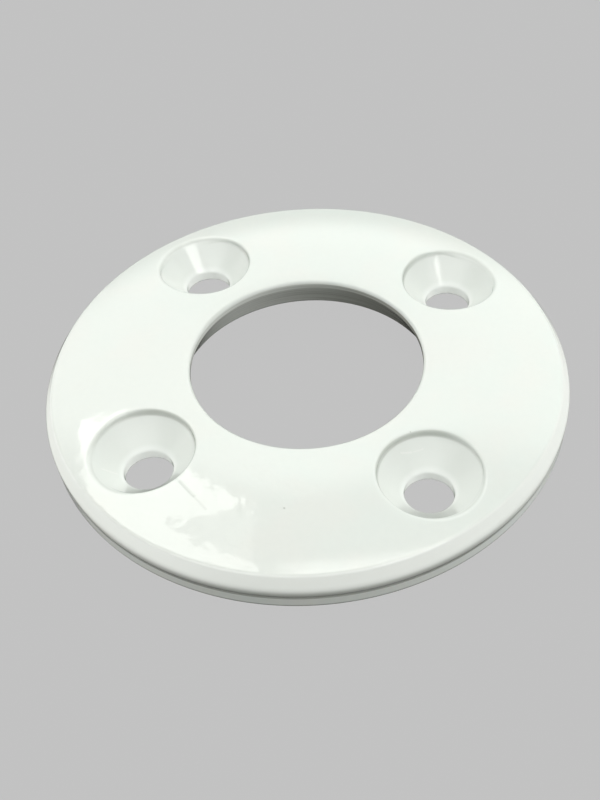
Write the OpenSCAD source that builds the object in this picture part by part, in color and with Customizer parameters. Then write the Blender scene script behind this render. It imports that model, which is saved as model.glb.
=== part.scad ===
// Ring flange for a pipe or wall fitting: a crowned face ring with an open
// centre bore and four countersunk screw holes, seated on a flat back ring.
// The wall of the bore is straight at the mouth and flares towards the back.
// Its hub and the four screw bosses reach down through the back ring.
// Millimetres, +Z up. The back face lies on z = 0 and the bore axis is Z.

/* [Flange] */
// Outside diameter of both rings
flange_d = 100; // [96:0.5:110]
// Height from the back face to the highest circle of the crown
total_h = 8.25; // [7.5:0.05:9]
// Height of the joint between the face ring and the back ring
seam_z = 2.6; // [2.2:0.1:3.0]

/* [Crowned face] */
// Radius of the highest circle on the crown
crown_peak_r = 31.5; // [29:0.5:34]
// Radius of the arc that the crown follows from bore to rim
crown_arc_r = 95; // [85:5:160]
// Radius of the edge where the crown ends and the sloping rim band begins
rim_edge_r = 48.4; // [48:0.1:48.8]
// Lean of the rim band, counted from the upright outer wall
rim_lean = 36; // [30:1:45]
// Rounding between the rim band and the outer wall
rim_round = 2.2; // [1.4:0.1:2.6]
// Rounding under the outer wall, just above the joint
under_round = 0.5; // [0.3:0.05:0.7]

/* [Bore] */
// Diameter of the centre bore
bore_d = 44.5; // [40:0.5:46]
// Rounding at the mouth of the bore
bore_round = 0.6; // [0.4:0.05:0.9]
// Height at which the straight bore ends and the wall starts to flare
flare_top_z = 6.25; // [5.8:0.05:6.8]
// Diameter of the flared wall where it meets the back face
flare_d = 50.8; // [48:0.2:51.4]
// Chamfer at the lower edge of the flared wall
bore_chamfer = 0.3; // [0.2:0.05:0.4]

/* [Screw holes] */
// Pitch circle diameter of the four screw holes
screw_pcd = 72; // [70:0.5:74]
// Diameter of the plain part of each screw hole
screw_hole_d = 9; // [8.4:0.1:9.4]
// Diameter of the recess at the mouth of each countersink
countersink_d = 18.6; // [17:0.1:19]
// Height where the countersink cone meets the plain hole
cone_foot_z = 2.25; // [1.6:0.05:2.4]
// Included angle of the countersink cone
cone_angle = 90; // [86:1:94]
// Chamfer at the lower edge of each screw hole
screw_chamfer = 0.5; // [0.2:0.05:0.6]
// Angle of the first screw hole, counted from +X
first_hole_angle = 45; // [0:5:90]

/* [Hub and screw bosses] */
// Outside diameter of the hub round the bore, which reaches down inside the back ring
hub_d = 55; // [53.5:0.1:55.6]
// Diameter of the bosses that reach down through the back ring
boss_d = 13; // [12.4:0.2:13.4]
// Gap round the hub and round each boss in the back ring
boss_gap = 0.1; // [0.05:0.05:0.3]

/* [Back ring] */
// Chamfer on the upper outside edge of the back ring
back_top_chamfer = 0.3; // [0.2:0.05:0.5]
// Rounding on the lower outside edge of the back ring
back_foot_round = 0.3; // [0.2:0.05:0.5]

/* [Hidden] */
$fn = 96;
eps = 0.01;

flange_r = flange_d / 2;
bore_r = bore_d / 2;
screw_r = screw_pcd / 2;
hole_r = screw_hole_d / 2;
hub_r = hub_d / 2;
back_in = hub_r + boss_gap;
sink_r = countersink_d / 2;
cone_top_z = cone_foot_z + (sink_r - hole_r) / tan(cone_angle / 2);

// Centre of the arc that the crown follows, in the r-z plane
arc_z = total_h - crown_arc_r;
// Height of the edge between the crown and the rim band
rim_edge_z = arc_z + sqrt(pow(crown_arc_r, 2) - pow(rim_edge_r - crown_peak_r, 2));
// Centre of the rim rounding, tangent to the rim band and the outer wall
rim_x = flange_r - rim_round;
rim_z = rim_edge_z + ((rim_edge_r - rim_x) * cos(rim_lean) - rim_round) / sin(rim_lean);
// Centre of the bore rounding, tangent to the crown and the bore wall
lip_x = bore_r + bore_round;
lip_z = arc_z + sqrt(pow(crown_arc_r - bore_round, 2) - pow(lip_x - crown_peak_r, 2));
lip_t = crown_peak_r + (lip_x - crown_peak_r) * crown_arc_r / (crown_arc_r - bore_round);

// Runs its children once at each of the four screw holes
module at_screws() {
    for (i = [0:3])
        rotate([0, 0, first_hole_angle + 90 * i])
            translate([screw_r, 0, 0])
                children();
}

// Half section of the face ring, without bosses and screw holes
module face_section() {
    intersection() {
        translate([crown_peak_r, arc_z]) circle(r = crown_arc_r, $fn = 720);
        translate([lip_t, seam_z + 1]) square([rim_edge_r - lip_t, total_h]);
    }
    intersection() {
        translate([rim_x, rim_z]) circle(r = rim_round);
        translate([rim_x, rim_z]) square([rim_round + 1, rim_round + 1]);
    }
    translate([lip_x, lip_z]) circle(r = bore_round);
    translate([flange_r - under_round, seam_z + under_round]) circle(r = under_round);
    polygon([
        [bore_r, flare_top_z],
        [flare_d / 2, bore_chamfer],
        [flare_d / 2 + bore_chamfer, 0],
        [hub_r - 0.3, 0],
        [hub_r, 0.3],
        [hub_r, seam_z],
        [flange_r - under_round, seam_z],
        [flange_r, seam_z + under_round],
        [flange_r, rim_z],
        [rim_x + rim_round * cos(rim_lean), rim_z + rim_round * sin(rim_lean)],
        [rim_edge_r, rim_edge_z],
        [lip_x, lip_z],
        [bore_r, lip_z]
    ]);
}

// Half section of the back ring, without the four boss holes
module back_section() {
    translate([flange_r - back_foot_round, back_foot_round]) circle(r = back_foot_round);
    polygon([
        [back_in, 0.3],
        [back_in + 0.3, 0],
        [flange_r - back_foot_round, 0],
        [flange_r, back_foot_round],
        [flange_r, seam_z - back_top_chamfer],
        [flange_r - back_top_chamfer, seam_z],
        [back_in + 0.3, seam_z],
        [back_in, seam_z - 0.3]
    ]);
}

module face_ring() {
    color([0.93, 0.95, 0.94])
    difference() {
        union() {
            rotate_extrude() face_section();
            at_screws() {
                translate([0, 0, 0.3]) cylinder(d = boss_d, h = seam_z + 1);
                cylinder(d1 = boss_d - 0.6, d2 = boss_d, h = 0.3);
            }
        }
        at_screws() {
            translate([0, 0, -1]) cylinder(r = hole_r, h = total_h + 2);
            translate([0, 0, -eps]) cylinder(r1 = hole_r + screw_chamfer + eps, r2 = hole_r, h = screw_chamfer + eps);
            translate([0, 0, cone_foot_z]) cylinder(r1 = hole_r, r2 = sink_r, h = cone_top_z - cone_foot_z);
            translate([0, 0, cone_top_z]) cylinder(r = sink_r, h = total_h);
        }
    }
}

module back_ring() {
    color([0.84, 0.87, 0.86])
    difference() {
        rotate_extrude() back_section();
        at_screws()
            translate([0, 0, -1]) cylinder(r = boss_d / 2 + boss_gap, h = seam_z + 2);
    }
}

face_ring();
back_ring();
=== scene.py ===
import bpy
import bmesh
import math
import numpy as np
from mathutils import Matrix, Vector


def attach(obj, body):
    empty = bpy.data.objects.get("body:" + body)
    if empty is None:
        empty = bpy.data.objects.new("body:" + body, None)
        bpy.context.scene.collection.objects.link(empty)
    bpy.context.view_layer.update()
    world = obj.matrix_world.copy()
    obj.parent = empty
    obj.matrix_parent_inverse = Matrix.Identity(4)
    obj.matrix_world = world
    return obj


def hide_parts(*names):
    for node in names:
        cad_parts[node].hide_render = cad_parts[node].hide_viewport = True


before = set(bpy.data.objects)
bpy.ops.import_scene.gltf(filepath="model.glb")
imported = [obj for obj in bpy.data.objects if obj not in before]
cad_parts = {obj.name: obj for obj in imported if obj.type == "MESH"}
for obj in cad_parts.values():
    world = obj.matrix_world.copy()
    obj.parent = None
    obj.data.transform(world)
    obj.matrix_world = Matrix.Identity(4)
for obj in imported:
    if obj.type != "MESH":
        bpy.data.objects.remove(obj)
bpy.context.view_layer.update()

MM = 0.001
TURN = math.radians(8.81)          # the camera's turn about the bore axis, seen from above

# ---------------------------------------------------------------- shared sizes (millimetres)
RO = 50.0                          # outside radius of both rings
RB = 22.25                         # bore radius
RP = 36.0                          # pitch radius of the screw holes
SEAM = 2.6                         # height of the joint between the rings
TOP = 8.25                         # highest circle of the crown
PEAK, ARC = 31.5, 95.0             # the crown's peak radius and arc radius
CREASE, LEAN = 48.4, math.radians(36)   # where the crown meets the sloping rim band, and the band's lean
RIM, LIP, UNDER = 2.2, 0.6, 0.5    # roundings: rim band to wall, bore mouth, under the outer wall
LAND, FLARE = 6.25, 25.4           # where the straight bore ends, and the flared wall's foot radius
HUB = 27.5                         # outside radius of the hub round the bore
SINK, HOLE, FOOT = 9.3, 4.5, 2.25  # countersink radius, hole radius, cone foot height
FLOOR = FOOT + SINK - HOLE         # where the recess wall meets the cone
BOSS = 6.5                         # radius of the screw bosses
N_OUT, N_IN, N_SIDE = 72, 48, 36   # columns of one quarter: outer arc, inner arc, each side
AZ = TOP - ARC


def crown(r):
    return AZ + np.sqrt(ARC ** 2 - (np.asarray(r, float) - PEAK) ** 2)


crease_z = float(crown(CREASE))
rim_x = RO - RIM
rim_z = crease_z + ((CREASE - rim_x) * math.cos(LEAN) - RIM) / math.sin(LEAN)
rim_t = CREASE - 0.42              # where the crown starts to turn over into the band
lip_x = RB + LIP
lip_z = AZ + math.sqrt((ARC - LIP) ** 2 - (lip_x - PEAK) ** 2)
lip_t = PEAK + (lip_x - PEAK) * ARC / (ARC - LIP)


# ---------------------------------------------------------------- mesh helpers
class Skin:
    """Collects rings of points and the quads between them."""

    def __init__(self):
        self.co, self.quads = [], []

    def ring(self, pts):
        start = len(self.co)
        self.co.extend([tuple(p) for p in pts])
        return list(range(start, start + len(pts)))

    def bridge(self, a, b, closed=True):
        n = len(a)
        for i in range(n if closed else n - 1):
            j = (i + 1) % n
            self.quads.append((a[i], a[j], b[j], b[i]))

    def build(self, name):
        mesh = bpy.data.meshes.new(name)
        mesh.from_pydata([(x * MM, y * MM, z * MM) for x, y, z in self.co], [], self.quads)
        bm = bmesh.new()
        bm.from_mesh(mesh)
        bmesh.ops.remove_doubles(bm, verts=bm.verts, dist=0.000004)
        bmesh.ops.recalc_face_normals(bm, faces=bm.faces)
        for f in bm.faces:
            f.smooth = True
        bm.to_mesh(mesh)
        bm.free()
        obj = bpy.data.objects.new(name, mesh)
        bpy.context.scene.collection.objects.link(obj)
        return obj


def bend(p0, c, p1, n):
    """Points of a rounded corner from p0 to p1 with its sharp corner at c."""
    out = []
    for k in range(n + 1):
        t = k / n
        out.append(tuple((1 - t) ** 2 * a + 2 * t * (1 - t) * b + t * t * d for a, b, d in zip(p0, c, p1)))
    return out


def quarter(r_in, r_out):
    """Boundary of one quarter of a ring around a screw hole, in the hole's own quarter (hole on +X)."""
    q = math.pi / 4
    pts = []
    for k in range(N_OUT):
        a = -q + 2 * q * k / N_OUT
        pts.append((r_out * math.cos(a), r_out * math.sin(a)))
    for k in range(N_SIDE):
        r = r_out + (r_in - r_out) * k / N_SIDE
        pts.append((r * math.cos(q), r * math.sin(q)))
    for k in range(N_IN):
        a = q - 2 * q * k / N_IN
        pts.append((r_in * math.cos(a), r_in * math.sin(a)))
    for k in range(N_SIDE):
        r = r_in + (r_out - r_in) * k / N_SIDE
        pts.append((r * math.cos(q), -r * math.sin(q)))
    return np.array(pts)


EDGE = quarter(lip_t, rim_t)
PHI = np.unwrap(np.arctan2(EDGE[:, 1], EDGE[:, 0] - RP))
even = PHI[0] + np.arange(len(PHI)) * 2 * math.pi / len(PHI)
PHI = 0.55 * PHI + 0.45 * even


def turned(pts, k):
    a = math.radians(45 + 90 * k)
    c, s = math.cos(a), math.sin(a)
    return [(x * c - y * s, x * s + y * c, z) for x, y, z in pts]


def around(rho, z):
    """A ring round the screw hole: rho and z may be numbers or one value per column."""
    rho = np.broadcast_to(rho, PHI.shape)
    z = np.broadcast_to(z, PHI.shape)
    return np.stack([RP + rho * np.cos(PHI), rho * np.sin(PHI), z], 1)


def sheet_rings(rho, edge, height, n, power):
    """Rings from the circle of radius rho round the hole out to the quarter's edge."""
    start = around(rho, 0)[:, :2]
    out = []
    for k in range(n + 1):
        t = (k / n) ** power
        p = start + (edge - start) * t
        out.append(np.column_stack([p, height(np.hypot(p[:, 0], p[:, 1]))]))
    return out


def lathe(skin, profile, count):
    """Turns a profile of (r, z) points round the bore axis with count columns a quarter."""
    n = 4 * count
    last = None
    for r, z in profile:
        a = [math.pi / 2 * i / count for i in range(n)]
        ring = skin.ring([(r * math.cos(t), r * math.sin(t), z) for t in a])
        if last is not None:
            skin.bridge(last, ring)
        last = ring


def strip(skin, rings, k):
    last = None
    for r in rings:
        ring = skin.ring(turned(r, k))
        if last is not None:
            skin.bridge(last, ring)
        last = ring


# ---------------------------------------------------------------- face ring
def build_face_ring():
    skin = Skin()
    edge_pt = around(SINK, 0)
    z_edge = crown(np.hypot(edge_pt[:, 0], edge_pt[:, 1]))     # where the sharp lip would be
    wall = z_edge - FLOOR
    w = np.clip((wall - 0.2) / 0.6, 0, 1)
    w = w * w * (3 - 2 * w)                                    # 1 where the recess has a wall, 0 where it has none
    soft = 0.95 - 0.25 * w                                     # how far out the lip starts to round
    start = around(SINK + soft, 0)
    z_start = crown(np.hypot(start[:, 0], start[:, 1]))
    top = sheet_rings(SINK + soft, EDGE, crown, 16, 1.15)[::-1]
    drop = np.minimum(0.5, 0.6 * wall)
    end_rho = w * SINK + (1 - w) * (SINK - 0.7)
    end_z = w * (z_edge - drop) + (1 - w) * (FLOOR - 0.7)
    n = 9
    lip = []
    for i in range(1, n + 1):
        t = i / n
        rho = (1 - t) ** 2 * (SINK + soft) + 2 * t * (1 - t) * SINK + t * t * end_rho
        z = (1 - t) ** 2 * z_start + 2 * t * (1 - t) * z_edge + t * t * end_z
        lip.append(around(rho, z))
    z_low = FLOOR + 0.14
    wall_rings = []
    for t in (0.33, 0.66):
        rho = w * SINK + (1 - w) * (SINK - 0.7 - 0.05 * t)
        z = w * ((z_edge - drop) + (z_low - z_edge + drop) * t) + (1 - w) * (FLOOR - 0.7 - 0.05 * t)
        wall_rings.append(around(rho, z))
    c45 = math.sqrt(0.5)
    corner = []
    for i, (r, z) in enumerate(bend((SINK, z_low), (SINK, FLOOR), (SINK - 0.14 * c45, FLOOR - 0.14 * c45), 4)):
        g = 0.76 + 0.03 * i
        corner.append(around(w * r + (1 - w) * (SINK - g), w * z + (1 - w) * (FLOOR - g)))
    a, b = (SINK - 0.14 * c45, FLOOR - 0.14 * c45), (HOLE + 0.3 * c45, FOOT + 0.3 * c45)
    cone = [around(a[0] + (b[0] - a[0]) * t, a[1] + (b[1] - a[1]) * t) for t in (0.22, 0.4, 0.6, 0.8, 0.95)]
    knee = [around(r, z) for r, z in bend(b, (HOLE, FOOT), (HOLE, FOOT - 0.28), 5)]
    shank = [around(HOLE, z) for z in (1.6, 1.2, 0.8)]
    foot = [around(r, z) for r, z in bend((HOLE, 0.5), (HOLE + 0.12, 0.12), (HOLE + 0.5, 0.0), 5)]
    end = [around(r, 0.0) for r in (5.3, 5.75)]
    side = [around(r, z) for r, z in bend((BOSS - 0.3, 0.0), (BOSS - 0.04, 0.04), (BOSS, 0.3), 4)]
    up = [around(BOSS, z) for z in (0.6, 1.5, 2.4, SEAM)]
    under_edge = quarter(HUB, RO - UNDER)
    under = sheet_rings(BOSS, under_edge, lambda r: np.full_like(r, SEAM), 12, 1.1)[1:]
    for k in range(4):
        strip(skin, top + lip + wall_rings + corner + cone + knee + shank + foot + end + side + up + under, k)
    # outer rim: crown -> crease -> sloping band -> rounding -> wall -> rounding under the wall
    band = (rim_x + RIM * math.cos(LEAN), rim_z + RIM * math.sin(LEAN))
    run = math.hypot(CREASE - band[0], crease_z - band[1])
    turn = [(band[0] + (CREASE - band[0]) * (1 - f), band[1] + (crease_z - band[1]) * (1 - f)) for f in (0.42 / run,)]
    prof = bend((rim_t, float(crown(rim_t))), (CREASE, crease_z), turn[0], 8)
    prof += [(turn[0][0] + (band[0] - turn[0][0]) * f, turn[0][1] + (band[1] - turn[0][1]) * f) for f in (0.3, 0.65)]
    for i in range(9):
        t = LEAN * (1 - i / 8)
        prof.append((rim_x + RIM * math.cos(t), rim_z + RIM * math.sin(t)))
    prof += [(RO, 3.55), (RO, 3.3)]
    for i in range(7):
        t = math.pi / 2 * i / 6
        prof.append((RO - UNDER + UNDER * math.cos(t), SEAM + UNDER - UNDER * math.sin(t)))
    lathe(skin, prof, N_OUT)
    # bore: crown -> mouth rounding -> wall -> lower edge
    tilt = math.atan2(lip_x - lip_t, float(crown(lip_t)) - lip_z)
    prof = []
    for i in range(9):
        t = tilt + (math.pi / 2 - tilt) * i / 8
        prof.append((lip_x - LIP * math.sin(t), lip_z + LIP * math.cos(t)))
    prof[0] = (lip_t, float(crown(lip_t)))
    for z in (7.0, 6.75):
        prof.append((RB, z))
    slope = (FLARE - RB) / (LAND - 0.3)
    prof += bend((RB, LAND + 0.25), (RB, LAND), (RB + 0.25 * slope, LAND - 0.25), 4)
    prof += [(RB + (LAND - z) * slope, z) for z in (5.2, 4.2, 3.2, 2.2, 1.3, 0.7)]
    prof += bend((FLARE - 0.05, 0.4), (FLARE + 0.06, 0.06), (FLARE + 0.3, 0.0), 5)
    prof += [(26.4, 0.0), (HUB - 0.3, 0.0)]
    prof += bend((HUB - 0.2, 0.01), (HUB - 0.02, 0.02), (HUB, 0.3), 4)
    prof += [(HUB, z) for z in (0.9, 1.7, SEAM)]
    lathe(skin, prof, N_IN)
    return skin.build("face_ring_shell")


# ---------------------------------------------------------------- back ring
def build_back_ring():
    skin = Skin()
    h = BOSS + 0.1
    top_z = SEAM - 0.01
    inner, outer = HUB + 0.1, RO
    top_edge = quarter(inner + 0.3, outer - 0.3)
    top = sheet_rings(h + 0.15, top_edge, lambda r: np.full_like(r, top_z), 10, 1.1)[::-1]
    bottom = sheet_rings(h + 0.15, top_edge, lambda r: np.zeros_like(r), 10, 1.1)
    corner_a = [around(r, z) for r, z in bend((h + 0.15, top_z), (h, top_z), (h, top_z - 0.15), 3)[1:]]
    mid = [around(h, z) for z in (1.8, 0.9)]
    corner_b = [around(r, z) for r, z in bend((h, 0.15), (h, 0.0), (h + 0.15, 0.0), 3)]
    for k in range(4):
        strip(skin, top + corner_a + mid + corner_b[:-1] + bottom, k)
    prof = [(outer - 0.3, top_z)] + bend((outer - 0.14, top_z), (outer, top_z), (outer, top_z - 0.14), 5)
    prof += [(outer, z) for z in (2.0, 1.5, 1.0, 0.6)]
    prof += [(outer - 0.3 + 0.3 * math.cos(t), 0.3 - 0.3 * math.sin(t)) for t in [math.pi / 2 * i / 5 for i in range(6)]]
    lathe(skin, prof, N_OUT)
    prof = bend((inner + 0.3, top_z), (inner + 0.03, top_z - 0.03), (inner, top_z - 0.3), 4)
    prof += [(inner, z) for z in (1.8, 1.0)]
    prof += bend((inner, 0.3), (inner + 0.03, 0.03), (inner + 0.3, 0.0), 4)
    lathe(skin, prof, N_IN)
    return skin.build("back_ring_shell")


# ---------------------------------------------------------------- node helpers
class Nodes:
    def __init__(self, tree):
        self.t = tree
        self.x = 0

    def new(self, kind, **props):
        n = self.t.nodes.new(kind)
        self.x += 40
        n.location = (self.x, 0)
        for k, v in props.items():
            setattr(n, k, v)
        return n

    def put(self, socket, value):
        if hasattr(value, "is_output") or isinstance(value, bpy.types.NodeSocket):
            self.t.links.new(value, socket)
        else:
            socket.default_value = value

    def math(self, op, a, b=None, c=None, clamp=False):
        n = self.new("ShaderNodeMath", operation=op, use_clamp=clamp)
        for i, v in enumerate((a, b, c)):
            if v is not None:
                self.put(n.inputs[i], v)
        return n.outputs[0]

    def vec(self, op, a, b=None, scale=None):
        n = self.new("ShaderNodeVectorMath", operation=op)
        self.put(n.inputs[0], a)
        if b is not None:
            self.put(n.inputs[1], b)
        if scale is not None:
            self.put(n.inputs["Scale"], scale)
        return n.outputs["Value"] if op in ("LENGTH", "DOT_PRODUCT", "DISTANCE") else n.outputs[0]

    def ramp(self, v, lo, hi, a=0.0, b=1.0, smooth=True):
        n = self.new("ShaderNodeMapRange")
        n.interpolation_type = "SMOOTHSTEP" if smooth else "LINEAR"
        n.clamp = True
        self.put(n.inputs["Value"], v)
        for name, val in (("From Min", lo), ("From Max", hi), ("To Min", a), ("To Max", b)):
            self.put(n.inputs[name], val)
        return n.outputs["Result"]

    def noise(self, vector, scale, detail=2.0, rough=0.5, distortion=0.0):
        n = self.new("ShaderNodeTexNoise")
        self.put(n.inputs["Vector"], vector)
        n.inputs["Scale"].default_value = scale
        n.inputs["Detail"].default_value = detail
        n.inputs["Roughness"].default_value = rough
        n.inputs["Distortion"].default_value = distortion
        return n.outputs["Fac"] if "Fac" in n.outputs else n.outputs[0]

    def mix(self, f, a, b, kind="MIX"):
        n = self.new("ShaderNodeMix", data_type="RGBA", blend_type=kind)
        self.put(n.inputs["Factor"], f)
        self.put(n.inputs[6], a)
        self.put(n.inputs[7], b)
        return n.outputs[2]

    def combine(self, x, y, z):
        n = self.new("ShaderNodeCombineXYZ")
        for i, v in enumerate((x, y, z)):
            self.put(n.inputs[i], v)
        return n.outputs[0]

    def segment(self, x, y, p, q, half):
        """1 on the segment p-q (metres, seen along Z), falling to 0 at distance half."""
        dx, dy = q[0] - p[0], q[1] - p[1]
        ll = dx * dx + dy * dy
        ux = self.math("SUBTRACT", x, p[0])
        uy = self.math("SUBTRACT", y, p[1])
        t = self.math("MULTIPLY_ADD", ux, dx / ll, self.math("MULTIPLY", uy, dy / ll))
        t = self.math("MINIMUM", self.math("MAXIMUM", t, 0.0), 1.0)
        ex = self.math("SUBTRACT", ux, self.math("MULTIPLY", t, dx))
        ey = self.math("SUBTRACT", uy, self.math("MULTIPLY", t, dy))
        d = self.math("SQRT", self.math("MULTIPLY_ADD", ex, ex, self.math("MULTIPLY", ey, ey)))
        return self.ramp(d, 0.0, half, 1.0, 0.0)


def new_material(name):
    m = bpy.data.materials.new(name)
    m.use_nodes = True
    m.node_tree.nodes.clear()
    k = Nodes(m.node_tree)
    out = k.new("ShaderNodeOutputMaterial")
    bsdf = k.new("ShaderNodeBsdfPrincipled")
    m.node_tree.links.new(bsdf.outputs[0], out.inputs[0])
    return m, k, bsdf


def plastic(name, base, cool, warm, rough_lo, rough_hi, depth, face):
    m, k, bsdf = new_material(name)
    co = k.new("ShaderNodeTexCoord").outputs["Object"]
    sep = k.new("ShaderNodeSeparateXYZ")
    k.put(sep.inputs[0], co)
    x, y, z = sep.outputs
    r = k.math("SQRT", k.math("MULTIPLY_ADD", x, x, k.math("MULTIPLY", y, y)))
    # colour: the resin is not quite even, a little cooler here and warmer there
    cloud = k.noise(co, 34.0, 3.0, 0.45)
    patch = k.noise(co, 78.0, 2.0, 0.5)
    c = k.mix(k.ramp(cloud, 0.38, 0.66), base, cool)
    c = k.mix(k.math("MULTIPLY", k.ramp(patch, 0.45, 0.75), 0.6), c, warm)
    fine = k.noise(co, 900.0, 3.0, 0.6)
    c = k.mix(k.ramp(fine, 0.3, 0.75, 0.0, 0.05), c, (0.70, 0.72, 0.71, 1))
    # tiny specks of darker resin and dust
    vor = k.new("ShaderNodeTexVoronoi")
    vor.feature = "F1"
    k.put(vor.inputs["Vector"], co)
    vor.inputs["Scale"].default_value = 85.0
    keep = k.new("ShaderNodeTexWhiteNoise")
    k.put(keep.inputs["Vector"], vor.outputs["Position"])
    speck = k.math("MULTIPLY", k.ramp(vor.outputs["Distance"], 0.006, 0.016, 1.0, 0.0), k.math("GREATER_THAN", keep.outputs["Value"], 0.86))
    c = k.mix(k.math("MULTIPLY", speck, 0.55), c, (0.30, 0.31, 0.28, 1))
    # roughness: polished mould, with faint dull patches
    haze = k.noise(co, 210.0, 4.0, 0.6)
    rough = k.ramp(haze, 0.3, 0.75, rough_lo, rough_hi)
    # relief: orange peel over a slower waviness
    peel = k.noise(co, 950.0, 2.0, 0.5)
    wave = k.noise(co, 330.0, 2.0, 0.4)
    grit = k.noise(co, 2600.0, 2.0, 0.5)
    h = k.math("MULTIPLY", peel, 0.000012 if face else 0.000004)
    h = k.math("MULTIPLY_ADD", wave, 0.000085 if face else 0.000010, h)
    h = k.math("MULTIPLY_ADD", grit, 0.00000035, h)
    if face:
        # relief: full strength in a patch round (-16, -38) mm, about a fifth of it elsewhere, and weaker inside the
        # screw holes
        sx = k.math("ADD", x, 0.016)
        sy = k.math("ADD", y, 0.038)
        lively = k.ramp(k.math("SQRT", k.math("MULTIPLY_ADD", sx, sx, k.math("MULTIPLY", sy, sy))), 0.016, 0.030, 1.0, 0.22)
        h = k.math("MULTIPLY", h, lively)
        hx = k.math("SUBTRACT", k.math("ABSOLUTE", x), 0.025456)
        hy = k.math("SUBTRACT", k.math("ABSOLUTE", y), 0.025456)
        rho = k.math("SQRT", k.math("MULTIPLY_ADD", hx, hx, k.math("MULTIPLY", hy, hy)))
        h = k.math("MULTIPLY", h, k.ramp(rho, 0.0088, 0.0096, 0.12, 1.0))
        # painted light: the countersinks and the walls of the screw holes are painted paler, standing in for light
        # that comes through the plastic
        c = k.mix(k.ramp(rho, 0.0089, 0.0093, 0.8, 0.0), c, (0.905, 0.93, 0.905, 1))
        c = k.mix(k.ramp(rho, 0.0046, 0.0056, 1.0, 0.0), c, (0.965, 0.985, 0.97, 1))
        # painted shade: a dark ring on the rim of each countersink's recess wall, stronger towards the bore
        lip = k.math("MULTIPLY", k.ramp(rho, 0.00895, 0.00925), k.ramp(rho, 0.00935, 0.0097, 1.0, 0.0))
        lip = k.math("MULTIPLY", lip, k.ramp(r, 0.030, 0.038, 0.55, 0.15))
        c = k.mix(lip, c, (0.46, 0.48, 0.44, 1))
        # knit lines, where two fronts of resin met, and single specks, plus painted highlight streaks on the cone
        # walls of two screw holes
        for p, q, half, depth, tint in KNITS_SPECKS_AND_GLINTS:
            s = k.segment(x, y, p, q, half)
            h = k.math("MULTIPLY_ADD", s, depth, h)
            c = k.mix(k.math("MULTIPLY", s, abs(tint)), c, (0.35, 0.37, 0.34, 1) if tint < 0 else (0.98, 0.985, 0.97, 1))
        # the bore wall keeps faint drag lines from the core pin, and its colour is painted darker as shade, more so
        # towards +X
        wall = k.math("MULTIPLY", k.ramp(r, 0.0224, 0.0226, 1.0, 0.0), k.ramp(z, 0.0070, 0.0074, 1.0, 0.0))
        flare = k.math("MULTIPLY", k.ramp(r, 0.0256, 0.0258, 1.0, 0.0), k.ramp(z, 0.0064, 0.0069, 1.0, 0.0))
        wall = k.math("MAXIMUM", wall, flare)
        ang = k.math("ARCTAN2", y, x)
        lines = k.noise(k.combine(k.math("MULTIPLY", ang, 0.9), 0.0, k.math("MULTIPLY", z, 3600.0)), 1.0, 2.0, 0.55)
        h = k.math("MULTIPLY_ADD", k.math("MULTIPLY", lines, wall), 0.000014, h)
        c = k.mix(k.math("MULTIPLY", wall, k.math("ADD", k.ramp(lines, 0.35, 0.7, 0.40, 0.66), k.ramp(x, -0.018, 0.016, -0.15, 0.38))), c, (0.22, 0.225, 0.20, 1))
        # painted shade: a darker line along the foot of the bore wall
        c = k.mix(k.math("MULTIPLY", wall, k.ramp(z, 0.0001, 0.0007, 0.8, 0.0)), c, (0.16, 0.17, 0.15, 1))
        # painted light: the sloping rim band is painted a touch paler
        band = k.math("MULTIPLY", k.ramp(r, 0.0480, 0.0485), k.ramp(z, 0.0036, 0.0048))
        c = k.mix(k.math("MULTIPLY", band, 0.9), c, (0.95, 0.97, 0.945, 1))
    # painted shade in the joint line between the rings, and along the foot, strongest on the near side
    outer = k.ramp(r, 0.0494, 0.0498)
    depth_in = k.math("MULTIPLY_ADD", x, 3.06, k.math("MULTIPLY", y, -19.76))     # 1 at the near side, -1 at the far side
    near_side_shade = k.ramp(depth_in, 0.45, 0.95, 0.35, 1.0)
    outer = k.math("MULTIPLY", outer, near_side_shade)
    seam_shade = k.ramp(k.math("ABSOLUTE", k.math("SUBTRACT", z, 0.0026)), 0.00010, 0.0022 if face else 0.00045, 0.84, 0.0)
    c = k.mix(k.math("MULTIPLY", outer, seam_shade), c, (0.20, 0.21, 0.19, 1))
    if not face:
        # painted shade: the back ring's outer wall is darker on the near side, and darker still along its foot
        c = k.mix(k.math("MULTIPLY", outer, 0.22), c, (0.35, 0.35, 0.33, 1))
        c = k.mix(k.math("MULTIPLY", outer, k.ramp(z, 0.0001, 0.0007, 0.95, 0.0)), c, (0.12, 0.13, 0.11, 1))
    bump = k.new("ShaderNodeBump")
    bump.inputs["Strength"].default_value = 1.0
    bump.inputs["Distance"].default_value = 1.0
    k.put(bump.inputs["Height"], h)
    k.put(bsdf.inputs["Base Color"], c)
    k.put(bsdf.inputs["Roughness"], rough)
    k.put(bsdf.inputs["Normal"], bump.outputs[0])
    bsdf.inputs["IOR"].default_value = 1.5
    bsdf.inputs["Subsurface Weight"].default_value = depth
    bsdf.inputs["Subsurface Radius"].default_value = (1.0, 0.97, 0.72)
    bsdf.inputs["Subsurface Scale"].default_value = 0.0018
    return m


# marks seen on the face, knit lines and specks (darker) and painted highlight streaks on the cones (paler): start,
# end (metres), half width, relief, tint (below 0 darker, above 0 a painted highlight)
KNITS_SPECKS_AND_GLINTS = [
    ((-0.01708, -0.03191), (-0.01400, -0.03478), 0.00048, -0.0000220, -0.20),
    ((-0.01400, -0.03478), (-0.01138, -0.03722), 0.00036, -0.0000140, -0.12),
    ((0.00167, -0.03580), (0.00175, -0.03583), 0.00026, 0.0, -0.60),
    ((0.02120, -0.01677), (0.02123, -0.01679), 0.00017, 0.0, -0.60),
    ((-0.03250, -0.02863), (-0.03048, -0.02781), 0.00024, 0.0000050, 0.7),
    ((0.01986, -0.01980), (0.02166, -0.01905), 0.00022, 0.0000050, 0.7),
    ((0.02200, -0.01890), (0.02366, -0.01814), 0.00018, 0.0000040, 0.5),
]

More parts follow.
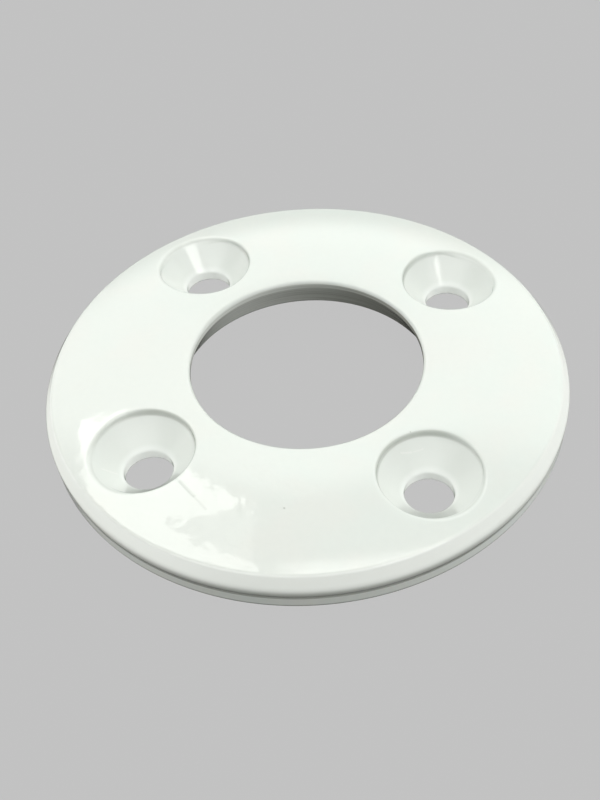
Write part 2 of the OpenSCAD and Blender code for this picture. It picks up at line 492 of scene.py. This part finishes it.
# ---------------------------------------------------------------- pieces
face = build_face_ring()
back = build_back_ring()
mat_face = plastic("white_face_plastic", (0.845, 0.868, 0.84, 1), (0.83, 0.868, 0.84, 1), (0.86, 0.86, 0.832, 1), 0.015, 0.05, 0.5, True)
mat_back = plastic("white_back_plastic", (0.74, 0.765, 0.745, 1), (0.70, 0.745, 0.73, 1), (0.76, 0.76, 0.73, 1), 0.14, 0.26, 0.2, False)
for obj, mat, node, slot in ((face, mat_face, "face_ring", "face_plastic"), (back, mat_back, "back_ring", "back_plastic")):
    obj.data.materials.append(mat)
    w = obj.modifiers.new("even_normals", "WEIGHTED_NORMAL")
    w.keep_sharp = False
    w.weight = 80
    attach(obj, "root")
    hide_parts(node)

# ---------------------------------------------------------------- floor
floor_mesh = bpy.data.meshes.new("floor")
floor_mesh.from_pydata([(-3, -3, 0), (3, -3, 0), (3, 3, 0), (-3, 3, 0)], [], [(0, 1, 2, 3)])
floor = bpy.data.objects.new("floor", floor_mesh)
bpy.context.scene.collection.objects.link(floor)
floor.location = (0, 0, -0.0003)
fm, fkn, fb = new_material("floor_paper")
fb.inputs["Base Color"].default_value = (0.008, 0.008, 0.008, 1)
fb.inputs["Roughness"].default_value = 1.0
fb.inputs["Specular IOR Level"].default_value = 0.0
fb.inputs["Emission Color"].default_value = (1, 1, 1, 1)
fb.inputs["Emission Strength"].default_value = 0.533
floor_mesh.materials.append(fm)
floor.visible_diffuse = False
floor.visible_glossy = False

# ---------------------------------------------------------------- world
ct, st = math.cos(TURN), math.sin(TURN)
RIGHT = (ct, st, 0.0)
AWAY = (-st, ct, 0.0)
world = bpy.data.worlds.new("studio")
bpy.context.scene.world = world
world.use_nodes = True
wt = world.node_tree
wt.nodes.clear()
wk = Nodes(wt)
wo = wk.new("ShaderNodeOutputWorld")
bg = wk.new("ShaderNodeBackground")
wt.links.new(bg.outputs[0], wo.inputs[0])
d = wk.new("ShaderNodeTexCoord").outputs["Generated"]
ws = wk.new("ShaderNodeSeparateXYZ")
wk.put(ws.inputs[0], d)
up = ws.outputs[2]
side = wk.vec("DOT_PRODUCT", d, RIGHT)
away = wk.vec("DOT_PRODUCT", d, AWAY)
low = wk.mix(wk.ramp(side, -0.35, 0.85), (0.07, 0.08, 0.075, 1), (1.05, 1.06, 1.02, 1))
low = wk.mix(wk.ramp(side, -0.35, -0.85), low, (1.5, 1.5, 1.45, 1))
low = wk.mix(wk.ramp(away, 0.3, 0.95, 0.0, 0.9), low, (0.16, 0.30, 0.30, 1))
high = wk.mix(wk.ramp(side, -0.6, 0.8), (0.09, 0.10, 0.09, 1), (0.15, 0.165, 0.15, 1))
near = wk.math("MULTIPLY", wk.ramp(up, 0.48, 0.70), wk.ramp(up, 0.90, 0.97, 1.0, 0.0))
near = wk.math("MULTIPLY", near, wk.ramp(away, -0.05, -0.5))
high = wk.mix(near, high, (1.66, 1.68, 1.65, 1))
sky = wk.mix(wk.ramp(up, 0.08, 0.40), low, high)
under = wk.mix(wk.ramp(side, 0.0, 0.9), (0.035, 0.035, 0.032, 1), (1.0, 1.0, 0.97, 1))
under = wk.mix(wk.ramp(side, -0.35, -0.85), under, (1.05, 1.05, 1.0, 1))
sky = wk.mix(wk.ramp(up, -0.10, 0.01), under, sky)
far = wk.math("MULTIPLY", wk.ramp(up, 0.32, 0.50), wk.ramp(up, 0.72, 0.86, 1.0, 0.0))
far = wk.math("MULTIPLY", far, wk.ramp(wk.math("MULTIPLY_ADD", wk.math("MAXIMUM", side, 0.0), 0.2, away), 0.46, 0.62))
far = wk.math("MULTIPLY", far, wk.ramp(side, -0.3, 0.3, 1.75, 1.95))
flat = wk.math("MAXIMUM", up, 0.02)
u = wk.math("DIVIDE", side, flat)                 # where a direction meets a level ceiling
v = wk.math("DIVIDE", away, flat)


def panel(x, y, x0, x1, y0, y1, edge):
    """1 inside a rectangle of the ceiling, with soft edges."""
    m = wk.ramp(x, x0 - edge, x0 + edge)
    m = wk.math("MULTIPLY", m, wk.ramp(x, x1 - edge, x1 + edge, 1.0, 0.0))
    m = wk.math("MULTIPLY", m, wk.ramp(y, y0 - edge, y0 + edge))
    m = wk.math("MULTIPLY", m, wk.ramp(y, y1 - edge, y1 + edge, 1.0, 0.0))
    return wk.math("MULTIPLY", m, wk.ramp(up, 0.1, 0.2))


def add(colour, amount, tint):
    scaled = wk.vec("SCALE", tint, scale=amount)
    return wk.vec("ADD", colour, scaled)


p = wk.math("MULTIPLY_ADD", u, 0.695, wk.math("MULTIPLY", v, -0.719))
q = wk.math("MULTIPLY_ADD", u, 0.719, wk.math("MULTIPLY", v, 0.695))
sky = add(sky, far, (0.97, 1.0, 0.96))
# the near left highlight: a window with a slanting top edge and a darker wedge in its right half
pane = panel(u, v, -0.66, -0.165, 0.235, 0.9, 0.012)
pane = wk.math("MULTIPLY", pane, wk.ramp(wk.math("MULTIPLY_ADD", u, 1.02, v), 0.485, 0.512, 1.0, 0.0))
du, dv = wk.math("ADD", u, 0.38), wk.math("SUBTRACT", v, 0.446)
wedge = wk.ramp(wk.math("SUBTRACT", wk.math("MULTIPLY", du, 0.74), dv), 0.0, 0.02)
wedge = wk.math("MULTIPLY", wedge, wk.ramp(wk.math("MULTIPLY_ADD", du, 0.845, dv), 0.0, 0.02))
pane = wk.math("MULTIPLY", pane, wk.math("MULTIPLY_ADD", wedge, -0.72, 1.0))
sky = add(sky, wk.math("MULTIPLY", pane, 3.6), (1.0, 1.0, 0.95))
sky = add(sky, wk.math("MULTIPLY", panel(u, v, -0.10, 0.44, 0.10, 0.28, 0.05), 3.6), (1.0, 1.0, 0.96))
sky = add(sky, wk.math("MULTIPLY", panel(p, q, 0.56, 0.98, -0.27, 0.27, 0.012), 4.2), (1.0, 1.0, 0.96))
band = wk.math("MULTIPLY", wk.ramp(up, -0.06, -0.02), wk.ramp(up, 0.02, 0.06, 1.0, 0.0))
band = wk.math("MULTIPLY", band, wk.ramp(away, -0.1, 0.3))
sky = add(sky, wk.math("MULTIPLY", band, 1.1), (1.0, 1.0, 1.0))
wk.put(bg.inputs["Color"], sky)
bg.inputs["Strength"].default_value = 1.0

# ---------------------------------------------------------------- camera
F, CX, CY = 950.43, 353.50, 497.24
EL, ROLL = 0.9161828781, -0.0405745692
T = np.array([-0.178488, -0.525408, 3.620072]) * RO * MM
fwd = np.array([0, math.cos(EL), -math.sin(EL)])
rgt = np.array([1.0, 0, 0])
dwn = np.cross(fwd, rgt)
M = np.stack([rgt, dwn, fwd])
c, s = math.cos(ROLL), math.sin(ROLL)
M = np.array([[c, -s, 0], [s, c, 0], [0, 0, 1]]) @ M
turn = np.array([[ct, st, 0], [-st, ct, 0], [0, 0, 1]])       # row frame -> the fitted frame
M = M @ turn
origin = np.array([0, 0, (TOP - 0.64) * MM])                  # the fitted frame's origin height
eye = -M.T @ T + origin
cam_data = bpy.data.cameras.new("camera")
cam = bpy.data.objects.new("camera", cam_data)
bpy.context.scene.collection.objects.link(cam)
R3 = Matrix((tuple(M[0]), tuple(-M[1]), tuple(-M[2]))).transposed()
cam.matrix_world = Matrix.Translation(Vector(eye)) @ R3.to_4x4()
cam_data.sensor_fit = "AUTO"
cam_data.sensor_width = 36.0
cam_data.lens = F / 800 * 36.0
cam_data.shift_x = (300 - CX) / 800
cam_data.shift_y = (CY - 400) / 800
cam_data.clip_start = 0.005
cam_data.dof.use_dof = False
bpy.context.scene.camera = cam

bpy.context.scene.view_settings.view_transform = "Standard"
bpy.context.scene.view_settings.look = "None"

bpy.context.view_layer.update()
